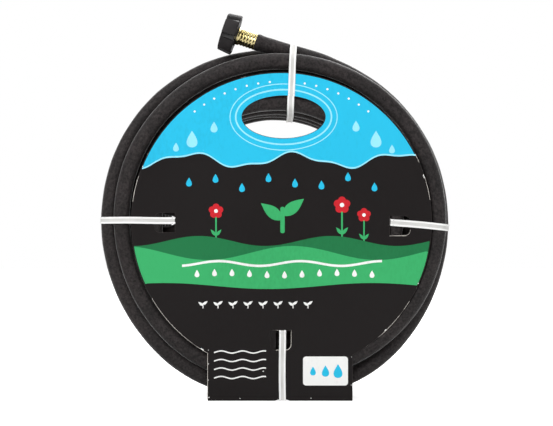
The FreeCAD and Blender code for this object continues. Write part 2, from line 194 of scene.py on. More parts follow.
CAMERA_DISTANCE = 1300.0    # from the card's front
VIEW_WIDTH = 553.0          # what the picture shows at the card's front
SENSOR_WIDTH = 36.0
CAMERA_X, CAMERA_Z = -3.5, 188.0
CARD_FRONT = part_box("display_card")[0].y / MM
CARD_BACK = -CARD_FRONT


def make_camera():
    """Level camera straight in front of the card."""
    data = bpy.data.cameras.new("camera")
    data.sensor_width = SENSOR_WIDTH
    data.lens = SENSOR_WIDTH * CAMERA_DISTANCE / VIEW_WIDTH
    scene.camera = add_object("camera", data)
    scene.camera.location = Vector((CAMERA_X, CARD_FRONT - CAMERA_DISTANCE, CAMERA_Z)) * MM
    scene.camera.rotation_euler = (pi / 2, 0, 0)


make_camera()

# ---------------- materials


def linear(red, green, blue):
    """Colour given as 0-255 values, in the renderer's linear numbers."""
    def channel(value):
        value /= 255
        return value / 12.92 if value <= 0.04045 else ((value + 0.055) / 1.055) ** 2.4
    return (channel(red), channel(green), channel(blue), 1.0)


def grey(value):
    return (value, value, value, 1.0)


def feed(tree, node, inputs):
    """Give each of a node's inputs a value or another node's output."""
    for socket, value in inputs.items():
        if isinstance(value, bpy.types.NodeSocket):
            tree.links.new(value, node.inputs[socket])
        else:
            node.inputs[socket].default_value = value
    return node


def add_node(tree, kind, inputs):
    """New shader node with its inputs."""
    return feed(tree, tree.nodes.new("ShaderNode" + kind), inputs)


def new_material(name, **values):
    """Material with one Principled shader whose sockets are set by name."""
    material = bpy.data.materials.new(name)
    material.use_nodes = True
    tree = material.node_tree
    named = {socket.replace("_", " "): value for socket, value in values.items()}
    return material, tree, feed(tree, tree.nodes["Principled BSDF"], named)


def texture(tree, kind, scale, stretch=None, **values):
    """Texture node on object coordinates in metres, so its scale is in features per metre."""
    place = tree.nodes.new("ShaderNodeTexCoord").outputs["Object"]
    if stretch:
        place = add_node(tree, "Mapping", {"Vector": place, "Scale": stretch}).outputs["Vector"]
    made = add_node(tree, "Tex" + kind, {"Vector": place, "Scale": scale, **values})
    return made.outputs["Distance" if kind == "Voronoi" else "Fac"]


def ramp(tree, source, *stops):
    """Colour ramp from two (position, colour) stops."""
    made = add_node(tree, "ValToRGB", {"Fac": source})
    for element, (position, colour) in zip(made.color_ramp.elements, stops):
        element.position = position
        element.color = colour
    return made.outputs["Color"]


def mixed(tree, blend, share, first, second):
    """Second colour laid over the first one by a share."""
    mix = tree.nodes.new("ShaderNodeMix")
    mix.data_type = "RGBA"
    mix.blend_type = blend
    return feed(tree, mix, {0: share, 6: first, 7: second}).outputs[2]


def total(tree, first, second):
    """Sum of two numbers."""
    return add_node(tree, "Math", {0: first, 1: second}).outputs[0]


def bump(tree, height, strength, distance):
    """Normal of a relief from a height, distance in metres."""
    return add_node(tree, "Bump", {"Height": height, "Strength": strength,
                                   "Distance": distance}).outputs["Normal"]


def finish_of(name, dark, light, roughness, grain, relief, **values):
    """Material mottled between two tones, with roughness and relief from one fine grain."""
    material, tree, shader = new_material(name, **values)
    drift = texture(tree, "Noise", grain / 9, Detail=4.0)
    fine = texture(tree, "Noise", grain, Detail=5.0, Roughness=0.6)
    feed(tree, shader, {
        "Base Color": ramp(tree, drift, (0.32, linear(*dark)), (0.68, linear(*light))),
        "Roughness": ramp(tree, fine, (0.3, grey(roughness[0])), (0.7, grey(roughness[1]))),
        "Normal": bump(tree, fine, relief, 0.0001)})
    return material


def hose_rubber():
    """Porous crumb rubber: charcoal, matt, grained, with fine pores."""
    material, tree, shader = new_material("hose_rubber", Specular_IOR_Level=0.22,
                                          Sheen_Weight=0.7, Sheen_Roughness=0.3)
    grain = texture(tree, "Noise", 380.0, Detail=6.0, Roughness=0.75)
    drift = texture(tree, "Noise", 30.0, Detail=4.0)
    tone = ramp(tree, drift, (0.3, linear(31, 28, 28)), (0.7, linear(42, 37, 37)))
    speckle = ramp(tree, grain, (0.38, grey(0.4)), (0.62, grey(1.7)))
    pits = ramp(tree, texture(tree, "Voronoi", 560.0), (0.0, grey(0.0)), (0.5, grey(1.0)))
    feed(tree, shader, {
        "Base Color": mixed(tree, "MULTIPLY", 1.0, tone, speckle),
        "Roughness": ramp(tree, grain, (0.3, grey(0.75)), (0.75, grey(0.46))),
        "Normal": bump(tree, total(tree, pits, grain), 0.6, 0.0003)})
    return material


def printed_ink(name, *tone):
    """Ink on coated board: a thin even gloss over faint fibres, rubbed pale in small specks."""
    material, tree, shader = new_material(name, Specular_IOR_Level=0.18)
    fibre = texture(tree, "Noise", 420.0, stretch=(1.0, 1.0, 0.45), Detail=4.0)
    patch = texture(tree, "Noise", 9.0, Detail=3.0)
    rubbed = texture(tree, "Noise", 150.0, Detail=6.0, Roughness=0.75)
    shade = ramp(tree, total(tree, fibre, patch), (0.6, grey(0.88)), (1.0, grey(1.0)))
    worn = ramp(tree, rubbed, (0.735, grey(0.0)), (0.765, grey(0.6)))
    core = ramp(tree, patch, (0.0, linear(214, 210, 204)), (1.0, linear(228, 224, 218)))
    ink = mixed(tree, "MULTIPLY", 1.0, linear(*tone), shade)
    feed(tree, shader, {
        "Base Color": mixed(tree, "MIX", worn, ink, core),
        "Roughness": ramp(tree, patch, (0.35, grey(0.42)), (0.65, grey(0.5))),
        "Normal": bump(tree, fibre, 0.12, 0.00012)})
    return material


def cut_edge(name, bare):
    """Board core at a cut, stained by the ink where a noise is below a share."""
    material, tree, shader = new_material(name, Roughness=0.85)
    stain = texture(tree, "Noise", 60.0, Detail=6.0, Roughness=0.65)
    tone = ramp(tree, stain, (bare, linear(44, 39, 38)), (bare + 0.12, linear(222, 216, 208)))
    feed(tree, shader, {"Base Color": tone})
    return material


RUBBER = hose_rubber()
BRASS = finish_of("turned_brass", (186, 164, 104), (212, 192, 134), (0.16, 0.3), 900.0, 0.12, Metallic=1.0)
CRIMPED_BRASS = finish_of("crimped_brass", (198, 180, 118), (228, 212, 156), (0.12, 0.22), 900.0, 0.12,
                          Metallic=1.0)
STEEL = finish_of("galvanised_wire", (150, 152, 156), (182, 184, 188), (0.25, 0.4), 900.0, 0.2, Metallic=1.0)
BLACK_PLASTIC = finish_of("black_plastic", (26, 24, 25), (33, 31, 31), (0.2, 0.3), 700.0, 0.1,
                          Specular_IOR_Level=0.5)
GRAINED_PLASTIC = finish_of("grained_plastic", (27, 24, 25), (36, 32, 33), (0.6, 0.75), 1100.0, 0.5,
                            Specular_IOR_Level=0.3)
WASHER_RUBBER = finish_of("washer_rubber", (32, 32, 32), (44, 44, 44), (0.5, 0.65), 600.0, 0.2)
RESTRICTOR = finish_of("restrictor_plastic", (190, 52, 40), (204, 60, 48), (0.35, 0.45), 600.0, 0.1)
STRAP_EDGE = finish_of("strap_edge", (236, 236, 234), (246, 246, 245), (0.35, 0.48), 500.0, 0.1)
# Greyer than the strap's edges: painted shade for the hollow film between the raised edges, with the dark
# card and hose showing through the thin film.
STRAP_FILM_SHADED = finish_of("strap_film_painted_shade", (196, 195, 192), (214, 213, 211), (0.3, 0.42), 420.0, 0.25)
CARD_BACKING = finish_of("card_backing", (176, 170, 160), (196, 190, 181), (0.8, 0.92), 260.0, 0.3)
CARD_CORE = cut_edge("card_core", 0.36)
STAINED_CORE = cut_edge("card_core_stained", 0.62)
INKS = {
    "black": printed_ink("ink_black", 25, 21, 21),
    "blue": printed_ink("ink_blue", 38, 187, 226),
    "pale_blue": printed_ink("ink_pale_blue", 150, 226, 248),
    "green": printed_ink("ink_green", 58, 172, 104),
    "dark_green": printed_ink("ink_dark_green", 30, 116, 68),
    "white": printed_ink("ink_white", 240, 240, 238),
    "red": printed_ink("ink_red", 200, 34, 44),
}

# ---------------- the two hose ends


def hose_end(joint, station):
    """Start and axis of a ferrule whose joint is at a station, and the matrix that puts Z along it."""
    axis = Vector(JOINTS[joint]["axis"])
    start = Vector(JOINTS[joint]["pos_m"]) / MM - axis * station
    side = axis.cross(-Y).normalized()
    front = side.cross(axis).normalized()
    return start, axis, Matrix.Translation(start) @ Matrix((front, side, axis)).transposed().to_4x4()


INLET_START, INLET_AXIS, INLET_PLACE = hose_end("nut_swivel", 28.0)
OUTLET_START, OUTLET_AXIS, OUTLET_PLACE = hose_end("cap_turn", 30.0)

# ---------------- hose route

HOSE_RADIUS = 8.2
COIL_CENTRE = Vector((-5.0, 0.0, 178.0))
POINTS_PER_TURN = 24
BOTTOM = -90.0              # angle at which a turn gives way to the next
CROSSOVER_HALF = 26.0       # degrees either side of it over which the hose changes lane

# The innermost turn's end: from the male fitting to where it joins the coil.
TAIL_ROUTE = [
    (-57.0, -18.4, 116.8),
    (-28.6, -24.4, 90.4),
    (8.4, -30.0, 77.9),
    (46.8, -33.0, 80.3),
    (81.6, -33.2, 98.2),
    (105.8, -33.2, 128.4),
    (115.5, -33.2, 166.2),
]
TAIL_JOIN = 6.0             # angle from +X at which the loop of turns takes over
LEAD_JOIN = 57.0            # angle in the last turn at which the free end leaves it
LEAD_ROUTE = [(0.93, 3.1), (0.52, 1.4), (0.2, 0.2)]     # share of the straight part, height above it
LEAD_LENGTH = 76.7

# One row per turn, from the innermost one outwards: radius, depth, shift right, shift up.
TURNS = [
    (121.4, -33.2, 0.0, 0.0), (119.8, -16.0, 0.3, -0.9), (118.4, 1.2, -0.2, -1.6), (117.2, 18.6, 0.2, -2.3),
    (135.6, 28.4, 0.0, 0.3), (135.4, 11.2, 0.2, 0.0), (135.9, -6.6, 0.0, -0.2), (135.7, -24.4, 0.0, 0.0),
    (158.9, -33.2, 5.2, 4.3), (150.4, -16.6, 0.0, 0.4), (150.9, 0.0, 0.3, 0.0), (150.2, 16.6, 0.0, 0.3),
    (150.8, 33.0, -0.4, 0.0),
    (168.0, 24.6, 0.6, 1.0), (168.3, 8.2, 0.7, 1.2), (167.8, -8.2, 0.6, 1.2), (168.1, -24.7, 0.7, 1.1),
]
LAST_TURN = len(TURNS) - 1
OUTER_TURNS = 13            # first turn of the outermost layer
FRONT_TURN = 8              # the turn that stands proud at the front
CLOSE = 16.6                # centre distance of two turns that touch
LANE_SHIFT = 21.0           # how far the outermost layer comes forward where its last turn has left it
SHIFT_FROM, SHIFT_OVER = 195.0, 55.0    # degrees past the bottom at which it starts to, and over which

# Where the ties let the hose bulge or hold it in: middle angle, width in degrees, height.
OUTER_BULGES = [(126, 32, 2.9), (50, 24, -1.1), (-114, 29, 5.2), (-62, 34, 5.2), (BOTTOM, 13, -6.0)]
FRONT_BULGES = [(-122, 30, 3.5), (-62, 14, -3.2)]
UNEVEN = [(0.45, 2, 1.9), (0.3, 3, 0.7)]    # height, waves per turn, shift from turn to turn
UNEVEN_DEPTH = (0.4, 2, 2.3)


def turn_reach(index, degrees):
    """Radius of one turn at an angle."""
    angle = radians(degrees)
    bulges = OUTER_BULGES if index >= OUTER_TURNS else FRONT_BULGES if index == FRONT_TURN else []
    uneven = sum(height * sin(waves * angle + shift * index) for height, waves, shift in UNEVEN)
    return TURNS[index][0] + uneven + sum(height * swell(degrees, *bulge) for *bulge, height in bulges)


def outer_push(index, degrees):
    """How far the proud front turn pushes a turn of the outermost layer back."""
    angle = radians(degrees)
    right, up = (TURNS[index][part] - TURNS[FRONT_TURN][part] for part in (2, 3))
    gap = turn_reach(index, degrees) - turn_reach(FRONT_TURN, degrees) + right * cos(angle) + up * sin(angle)
    touching = TURNS[FRONT_TURN][1] + sqrt(CLOSE ** 2 - min(gap, CLOSE) ** 2)
    return max(0.0, touching - TURNS[LAST_TURN][1])


def turn_point(index, degrees):
    """Point of one turn at an angle from +X towards +Z, from the coil's centre."""
    _, depth, right, up = TURNS[index]
    angle = radians(degrees)
    reach = turn_reach(index, degrees)
    if index >= OUTER_TURNS:
        depth += outer_push(index, degrees)
        if index < LAST_TURN:
            depth -= LANE_SHIFT * smooth(((degrees - BOTTOM) % 360 - SHIFT_FROM) / SHIFT_OVER)
    else:
        height, waves, shift = UNEVEN_DEPTH
        depth += height * sin(waves * angle + shift * index)
    return Vector((right + reach * cos(angle), depth, up + reach * sin(angle)))


def coil_points():
    """Control points of all turns, changing lane smoothly at the bottom."""
    outside_curve = 1 / cos(pi / POINTS_PER_TURN)
    finish = LEAD_JOIN + 360 * LAST_TURN
    points = []
    for degrees in even_steps(TAIL_JOIN, finish, round((finish - TAIL_JOIN) * POINTS_PER_TURN / 360)):
        index = round((degrees - BOTTOM) / 360)
        share = smooth(0.5 + (degrees - BOTTOM - 360 * index) / (2 * CROSSOVER_HALF))
        here = turn_point(max(index - 1, 0), degrees).lerp(turn_point(index, degrees), share)
        points.append(COIL_CENTRE + Vector((here.x * outside_curve, here.y, here.z * outside_curve)))
    return points


NECK_REACH = 16.0           # how far the hose goes into each ferrule
NECK_RADIUS = 7.35
NECK_TAPER = 1.2
SWELLING = 0.5              # how much thicker the hose is where the crimp squeezes it out
SWELLING_AT, SWELLING_HALF = 2.5, 3.0       # past the ferrule's start
HOSE_SIDES = 24
END_SPANS = 8               # stretches of the line at each end that get close points


def hose_route():
    """Control points from inside the female ferrule, round all turns, into the male ferrule."""
    tail = [OUTLET_START + OUTLET_AXIS * NECK_REACH] + [Vector(point) for point in TAIL_ROUTE]
    lead = [INLET_START - INLET_AXIS * LEAD_LENGTH * share + Vector((0, 0, rise))
            for share, rise in LEAD_ROUTE]
    lead.append(INLET_START + INLET_AXIS * NECK_REACH)
    return (tail + coil_points() + lead)[::-1]


def refined(line, step=0.6):
    """The first stretches of a line, with points close together."""
    points = []
    for before, after in zip(line[:END_SPANS], line[1:]):
        parts = max(1, round((after - before).length / step))
        points += [before.lerp(after, part / parts) for part in range(parts)]
    return points


def make_hose():
    """The whole hose as one tube, with its two necks inside the ferrules; returns its line too."""
    line = nurbs_points(hose_route(), 6)
    line = refined(line) + line[END_SPANS:-END_SPANS] + refined(line[::-1])[::-1]
    along = travelled(line)
    radii = []
    for distance in along:
        outside = min(distance, along[-1] - distance) - NECK_REACH
        uneven = 0.07 * (sin(distance / 4.3) + sin(distance / 11.7))
        uneven += SWELLING * math.exp(-((outside - SWELLING_AT) / SWELLING_HALF) ** 2)
        radii.append(NECK_RADIUS + (HOSE_RADIUS - NECK_RADIUS + uneven) * smooth(outside / NECK_TAPER + 1))
    hose = add_piece("soaker_hose", skin(tube_rings(line, radii, HOSE_SIDES, -Y)), [RUBBER],
                     replaces=("hose_coil", "hose_lead", "hose_tail"), sharp=60)
    return hose, line


hose, hose_line = make_hose()

# ---------------- fittings


def eased(outline, reach):
    """Closed outline with every sharp corner cut by a small curve."""
    result = []
    count = len(outline)
    for index in range(count):
        before, here, after = (Vector(outline[(index + shift) % count]) for shift in (-1, 0, 1))
        back, forth = before - here, after - here
        sharp = back.length > 0.01 and forth.length > 0.01 and back.angle(forth) < radians(150)
        if not sharp or here.x < 0.01:
            result.append(here)
            continue
        start = here + back.normalized() * min(reach, 0.4 * back.length)
        end = here + forth.normalized() * min(reach, 0.4 * forth.length)
        result += [start, (start + here * 2 + end) / 4, end]
    return result


def lathe(outline, place, shape=None, turns=None, ease=0.3):
    """Closed turned body from (radius, station) points; shape alters the radius round the axis."""
    rings = []
    for radius, station in eased(outline, ease):
        ring = []
        for turn in turns or full_turn(96):
            reach = shape(radius, station, turn) if shape else radius
            ring.append(place @ Vector((reach * cos(turn), reach * sin(turn), station)))
        rings.append(ring)
    return skin(rings, closed=True)


def stretch(radius, start, end, step=0.2):
    """Outline points at one radius, close enough together to carry a thread."""
    return [(radius, station) for station in even_steps(start, end, round(abs(end - start) / step))]


PITCH = 2.209               # garden hose thread, 11.5 turns to the inch
THREAD_DEPTH = 0.95
THREAD_FADE = 0.8


def thread(station, turn, start, end):
    """Height of a right-handed thread at a place, fading out at its two ends."""
    share = (station / PITCH - turn / (2 * pi)) % 1.0
    ridge = min(max(1.7 * (1 - abs(2 * share - 1)) - 0.35, 0.0), 1.0)
    fade = smooth((station - start) / THREAD_FADE) * smooth((end - station) / THREAD_FADE)
    return THREAD_DEPTH * ridge * fade


GRIP_COUNT = 6
GRIP_PITCH = 360 / GRIP_COUNT
GRIP_ANGLE = 43.0           # of the first groove from the front
GRIP_DEPTH = 2.0
GRIP_HALF = (6.2, 8.4)      # degrees from a groove's middle at which its wall starts and ends
GRIP_STEPS = (0, 2, 4, 5.5, 6.2, 6.7, 7.3, 7.8, 8.4, 9.2, 11, 15, 19, 23, 27)
PAD_HOLLOW = 0.4            # how much a pad is flatter than the round


def grip_turns():
    """Angles that follow the grooves closely and the pads loosely."""
    offsets = sorted({side * step for step in GRIP_STEPS for side in (-1, 1)} | {GRIP_PITCH / 2})
    return [radians(GRIP_ANGLE + GRIP_PITCH * number + offset)
            for number in range(GRIP_COUNT) for offset in offsets]


def off_groove(turn):
    """Angle from the middle of the nearest groove."""
    return abs((math.degrees(turn) - GRIP_ANGLE + GRIP_PITCH / 2) % GRIP_PITCH - GRIP_PITCH / 2)


def grip_finishes(faces):
    """Smooth finish in the grooves and a grained one on the pads between them."""
    turns = grip_turns()
    return [int(off_groove(turns[min(face) % len(turns)]) > GRIP_HALF[1] - 0.1) for face in faces]


def grip(turn):
    """How much lower than round the outside of nut and cap is at an angle."""
    off = off_groove(turn)
    groove = 1 - smooth((off - GRIP_HALF[0]) / (GRIP_HALF[1] - GRIP_HALF[0]))
    return GRIP_DEPTH * groove + PAD_HOLLOW * (1 - groove) * smooth(2 * off / GRIP_PITCH)


RIDGE_FIRST, RIDGE_PITCH, RIDGES_END = 1.4, 3.2, 16.0
RIDGE_HEIGHT = 0.62
JAWS = 8                    # of the crimping tool, each of which leaves its own row of ridges
JAW_ANGLE = -4.0            # of the middle of one row, from the front
JAW_DENT = 0.2              # how deep the middle of a row is pressed in

# Crimped shell: a plain skirt that carries the ridges, then a collar with a rolled lip.
FERRULE = [(7.4, 0.0), *stretch(8.0, 0.0, RIDGES_END, 0.16), (8.3, 16.3), (8.75, 17.0), (8.9, 18.2),
           (8.75, 19.0), (8.9, 19.3), (8.9, 20.0), (6.5, 20.0), (6.5, 18.25), (7.4, 18.25)]

# The part of a stem inside the ferrule, the same on both stems.
BARB = [(4.5, 1.5), (5.4, 1.5), (5.7, 3.0), (5.7, 18.2), (6.4, 18.2), (6.4, 20.0)]


def crimp(radius, station, turn):
    """Ridges of each jaw, half a pitch apart from the next jaw's, flattened across the jaw."""
    if radius < 7.6 or not 0.0 < station < RIDGES_END:
        return radius
    row = (math.degrees(turn) - JAW_ANGLE) * JAWS / 360
    across = 2 * abs(row - round(row))
    own = 0.5 * (round(row) % 2)
    heights = [abs(cos(pi * ((station - RIDGE_FIRST) / RIDGE_PITCH + phase))) ** 1.5
               for phase in (own, own + 0.5)]
    blend = 0.5 * smooth((across - 0.55) / 0.45)
    height = heights[0] * (1 - blend) + heights[1] * blend
    fade = smooth(station / 0.5) * smooth((RIDGES_END - station) / 0.6)
    return radius + RIDGE_HEIGHT * height * fade - JAW_DENT * (1 - across ** 2)


def washer(start, end):
    """Outline of a hose washer."""
    return [(7.95, start), (12.6, start), (12.6, end), (7.95, end)]


GRIPPED = [BLACK_PLASTIC, GRAINED_PLASTIC]


def add_fitting(name, node, body, place, outline, materials, slot, sharp=None, **turned):
    """Turned piece in the place of one CAD node, with grained pads where it has grips."""
    form = lathe(outline, place, **turned)
    finishes = grip_finishes(form[1]) if materials == GRIPPED else None
    return add_piece(name, form, materials, body, (node,), sharp, finishes)


def make_inlet():
    """Female end: ferrule and stem, and the swivel nut with its washer and flow restrictor."""
    thread_start, thread_end = 29.3, 35.2

    def nut_shape(radius, station, turn):
        if radius > 15:
            return radius - grip(turn)
        if thread_start < station < thread_end and radius > 12:
            return radius - THREAD_DEPTH + thread(station, turn, thread_start, thread_end)
        return radius

    def add(name, node, body, *rest, **turned):
        add_fitting(name, node, body, INLET_PLACE, *rest, **turned)

    add("inlet_crimp_shell", "inlet_ferrule", "root", FERRULE, [CRIMPED_BRASS], "brass_crimped", shape=crimp)
    add("inlet_tail_stem", "inlet_stem", "root",
        BARB + [(8.6, 20.0), (8.6, 23.7), (11.9, 23.7), (11.9, 26.0), (4.5, 26.0)], [BRASS], "brass", 40)
    add("swivel_coupling_nut", "inlet_nut", "swivel_nut",
        [(9.2, 19.8), (10.4, 19.8), (10.7, 20.9), (19.9, 20.9), (20.8, 21.8), (20.5, 25.0), (19.3, 34.5),
         (18.7, 35.4), (14.0, 35.4), (13.5, 35.0), *stretch(13.45, 34.9, 29.2), (13.5, 29.1),
         (13.5, 23.4), (9.2, 23.4)],
        GRIPPED, "black_plastic", 38, shape=nut_shape, turns=grip_turns())
    add("coupling_seal", "inlet_washer", "swivel_nut", washer(26.3, 29.1), [WASHER_RUBBER],
        "washer_rubber", 50, ease=0.6)
    add("restrictor_disc", "flow_restrictor", "swivel_nut",
        [(1.0, 26.3), (7.9, 26.3), (7.9, 27.5), (2.4, 27.5), (2.0, 27.1), (1.0, 27.1)],
        [RESTRICTOR], "restrictor_plastic", 40, ease=0.15)


def make_outlet():
    """Male end: ferrule, threaded stem, and the screwed cap with its washer; returns what is on the hose."""
    def stem_shape(radius, station, turn):
        return radius + (thread(station, turn, 25.0, 33.2) if radius > 12 else 0.0)

    def cap_shape(radius, station, turn):
        if radius > 15.5 and station < 36.6:
            return radius - grip(turn)
        return radius + (thread(station, turn, 24.4, 33.4) if 12.5 < radius < 14 else 0.0)

    def add(name, node, body, *rest, **turned):
        return add_fitting(name, node, body, OUTLET_PLACE, *rest, **turned)

    shell = add("outlet_crimp_shell", "outlet_ferrule", "root", FERRULE, [CRIMPED_BRASS],
                "brass_crimped", shape=crimp)
    stem = add("outlet_threaded_stem", "outlet_stem", "root",
               BARB + [(11.2, 20.0), (11.2, 23.6), (11.6, 23.6), (11.6, 24.9), *stretch(12.35, 25.0, 33.3),
                       (12.0, 33.5), (8.0, 33.5), (8.0, 28.0), (4.5, 28.0)],
               [BRASS], "brass", 50, shape=stem_shape)
    dome = [(18.5, 36.2), (17.6, 37.6), (15.6, 38.5), (12.0, 39.0), (6.0, 39.2), (0.0, 39.2)]
    add("screw_end_cap", "end_cap", "screw_cap",
        [(13.0, 24.0), (17.7, 24.0), (18.6, 24.9), *dome, (0.0, 36.4), (13.0, 36.4),
         *stretch(12.65, 33.5, 24.2)],
        GRIPPED, "black_plastic", 38, shape=cap_shape, turns=grip_turns())
    add("cap_seal_ring", "cap_washer", "cap_seal", washer(33.8, 36.1), [WASHER_RUBBER],
        "washer_rubber", 50, ease=0.6)
    return [shell, stem]


make_inlet()
outlet_pieces = make_outlet()

# ---------------- printed design

DISC_X, DISC_Z, DISC_RADIUS = 1.5, 178.5, 150.0
PRINT_REACH = DISC_RADIUS - 0.6     # the coloured print leaves a black rim
# Knocked spots: angle on the disc's rim, length, depth; and place and size on the tab.
CHIPS = [(-122, 4.5, 1.2), (-46, 3.0, 1.0), (-24, 1.6, 0.8), (158, 1.5, 0.8), (18, 5.2, 0.9), (-97, 1.4, 0.7)]
CHIP_SHAPE = [(1, -0.3), (-1, -0.3), (-0.9, 0.3), (-0.5, 0.9), (-0.1, 0.6), (0.3, 1.0), (0.8, 0.4)]
TAB_SPECKS = [(-71.6, 51, 0.5), (-71.5, 37, 0.6), (-71.6, 21, 0.5), (-71.2, 3.6, 0.8), (71.6, 44, 0.5),
              (71.4, 16, 0.6), (-40, 2.6, 0.5), (31, 2.8, 0.6)]
HOLE_X, HOLE_Z, HOLE_HALF_WIDTH, HOLE_HALF_HEIGHT = 3.6, 284.0, 42.1, 21.6
FLOWERS = [(62, 196, 17), (84, 186, 14), (-64, 190, 15)]        # middle and size
PALE_DROPS = [(-88, 262, 17), (-66, 274, 11), (96, 262, 17), (76, 275, 11), (-104, 254, 9), (112, 252, 9)]
DOT_REACH = 141.0           # of the row of dots from the disc's middle


def oval(x, z, half_width, half_height, count=40, start=0.0):
    """Ellipse as a polygon."""
    return [(x + half_width * cos(start + turn), z + half_height * sin(start + turn))
            for turn in full_turn(count)]


def hole_oval(grown):
    """The hand hole, or a ripple round it."""
    return oval(HOLE_X, HOLE_Z, HOLE_HALF_WIDTH + grown, HOLE_HALF_HEIGHT + grown, 72)


def drop(x, z, height):
    """Water drop with its point up."""
    return [(x + 0.45 * height * sin(turn) * sin(turn / 2) ** 1.4, z + 0.5 * height * cos(turn))
            for turn in full_turn(20)]


def leaf(x, z, length, width, degrees, count=9):
    """Pointed leaf that grows from a point in a direction."""
    lean = radians(degrees)
    upper = [(length * share, width * sin(pi * share ** 0.8) / 2) for share in even_steps(0, 1, count)]
    lower = [(along, -across) for along, across in upper[-2:0:-1]]
    return [(x + along * cos(lean) - across * sin(lean), z + along * sin(lean) + across * cos(lean))
            for along, across in upper + lower]


def panel(x, z, width, height, corner, count=5):
    """Rectangle with round corners."""
    corners = ((1, 1), (-1, 1), (-1, -1), (1, -1))
    return [polar(x + side_x * (width / 2 - corner), z + side_z * (height / 2 - corner), corner, turn)
            for quarter, (side_x, side_z) in enumerate(corners)
            for turn in even_steps(pi / 2 * quarter, pi / 2 * (quarter + 1), count)]


def ribbon(height, left, right, width, count=60):
    """Band of even width along a curve given as a function of x."""
    across = even_steps(left, right, count)
    return ([(x, height(x) + width / 2) for x in across]
            + [(x, height(x) - width / 2) for x in reversed(across)])


def water_line(x):
    return 241 + 6.5 * sin(2 * pi * (x + 12) / 104) + 2.2 * sin(2 * pi * x / 43)


def front_hill(x):
    return 148 + 7 * sin((x + 30) / 27)


def back_hill(x):
    return 160 + 5 * sin((x - 18) / 21)


def hill_foot(x):
    return 115 + 3 * sin((x - 40) / 33)


def across_disc(height):
    """Points of a curve from one side of the printed disc to the other."""
    return [(x, height(x)) for x in even_steps(DISC_X - PRINT_REACH, DISC_X + PRINT_REACH, 120)
            if math.hypot(x - DISC_X, height(x) - DISC_Z) < PRINT_REACH - 0.5]


def rim_arc(first, last, count):
    """Points along the printed disc's rim between the directions of two points."""
    turns = [math.atan2(z - DISC_Z, x - DISC_X) for x, z in (first, last)]
    return [polar(DISC_X, DISC_Z, PRINT_REACH, turn) for turn in even_steps(*turns, count)]


def water_field():
    """Blue field: the top of the disc, a little inside its edge, down to a wavy line."""
    line = across_disc(water_line)
    return line + rim_arc(line[-1], line[0], 70)


def hill(height):
    """Field between a curve and the foot of the hills, from rim to rim of the disc."""
    upper, lower = across_disc(height), across_disc(hill_foot)
    return upper + rim_arc(upper[-1], lower[-1], 10) + lower[::-1] + rim_arc(lower[0], upper[0], 10)


def sprout(x, z, size):
    """Stem with two leaves."""
    return [panel(x, z + 0.25 * size, 0.1 * size, 0.6 * size, 0.04 * size, 2),
            leaf(x, z + 0.35 * size, 0.62 * size, 0.27 * size, 38),
            leaf(x, z + 0.25 * size, 0.62 * size, 0.27 * size, 142)]


def flower(x, z, size):
    """Five round petals about a pale middle, on a stem with two leaves that stands on the back hill."""
    foot = back_hill(x) - 2
    petals = [polar(x, z, 0.27 * size, pi / 2 + turn) for turn in full_turn(5)]
    return [("white", [oval(x, z, 0.13 * size, 0.13 * size, 14)]),
            ("red", [oval(*petal, 0.23 * size, 0.23 * size, 20) for petal in petals]),
            ("green", [panel(x, (z + foot) / 2, 0.1 * size, z - foot, 0.04 * size, 2)]),
            ("green", [leaf(x, foot + 0.25 * size, 0.55 * size, 0.2 * size, side) for side in (50, 130)])]


def chip(degrees, length, depth):
    """Ragged spot on the disc's rim where the print is knocked off."""
    half = length / 2 / DISC_RADIUS
    return [polar(DISC_X, DISC_Z, DISC_RADIUS - (depth * deep if deep > 0 else deep),
                  radians(degrees) + half * share) for share, deep in CHIP_SHAPE]


def design():
    """Printed shapes as (ink, polygon), the uppermost first."""
    dots = [radians(52 + 4.75 * number) for number in range(17) if number != 8]
    layers = [
        ("white", [chip(*spot) for spot in CHIPS]),
        ("white", [oval(x, z, size, 0.7 * size, 5, x) for x, z, size in TAB_SPECKS]),
        ("white", [ribbon(lambda x: 137.5 + 2.4 * sin(x / 13), -98, 102, 2.4)]),
        ("white", [drop(-83 + 17.5 * number, 127.5 + 1.2 * sin(number), 7.5) for number in range(11)]),
        ("green", [hill(front_hill)]),
        ("dark_green", [hill(back_hill)]),
        ("green", sprout(2.5, 170, 44)),
        *[layer for spot in FLOWERS for layer in flower(*spot)],
        ("blue", [drop(-91 + 26.5 * number, 219 + 5.5 * sin(2.4 * number), 9) for number in range(8)]),
        ("white", [shape for number in range(8) for shape in sprout(-77 + 15 * number, 93, 9.5)]),
        ("white", [ribbon(lambda x: 49 - 8.5 * row + 1.1 * sin(x / 3.4), -66, -14, 1.3, 40)
                   for row in range(4)]),
        ("blue", [drop(33 + 12.5 * number, 30, 9 + 2.5 * number) for number in range(3)]),
        ("white", [panel(45.5, 30, 45, 29, 3)]),
        ("white", [oval(*polar(DISC_X, DISC_Z, DOT_REACH, turn), 1.1, 1.1, 10) for turn in dots]),
        ("blue", [hole_oval(5.0)]),
        ("pale_blue", [hole_oval(6.6)]),
        ("blue", [hole_oval(11.0)]),
        ("pale_blue", [hole_oval(12.0), *(drop(*spot) for spot in PALE_DROPS)]),
        ("pale_blue", [ribbon(water_line, -138, 141, 1.6, 120)]),
        ("blue", [water_field()]),
    ]
    return [(ink, shape) for ink, shapes in layers for shape in shapes]


# ---------------- card

CARD_THICKNESS = 0.7
TAB_HALF = 72.2
TAB_TOP = 62.5              # a height above the corners at which the tab's sides meet the disc
FOLD_RADIUS = 1.0           # of the sheet's middle at its two folds
FLAP_HEIGHT = 52.0
FLAP_CORNER = 9.0
EDGE_SLOPE = 0.5            # how much the cut edge leans out towards the back
FOLD_STEPS = 5
CHANNEL_CUTS = 9.0          # how far from the channel's middle the sheet is cut finely
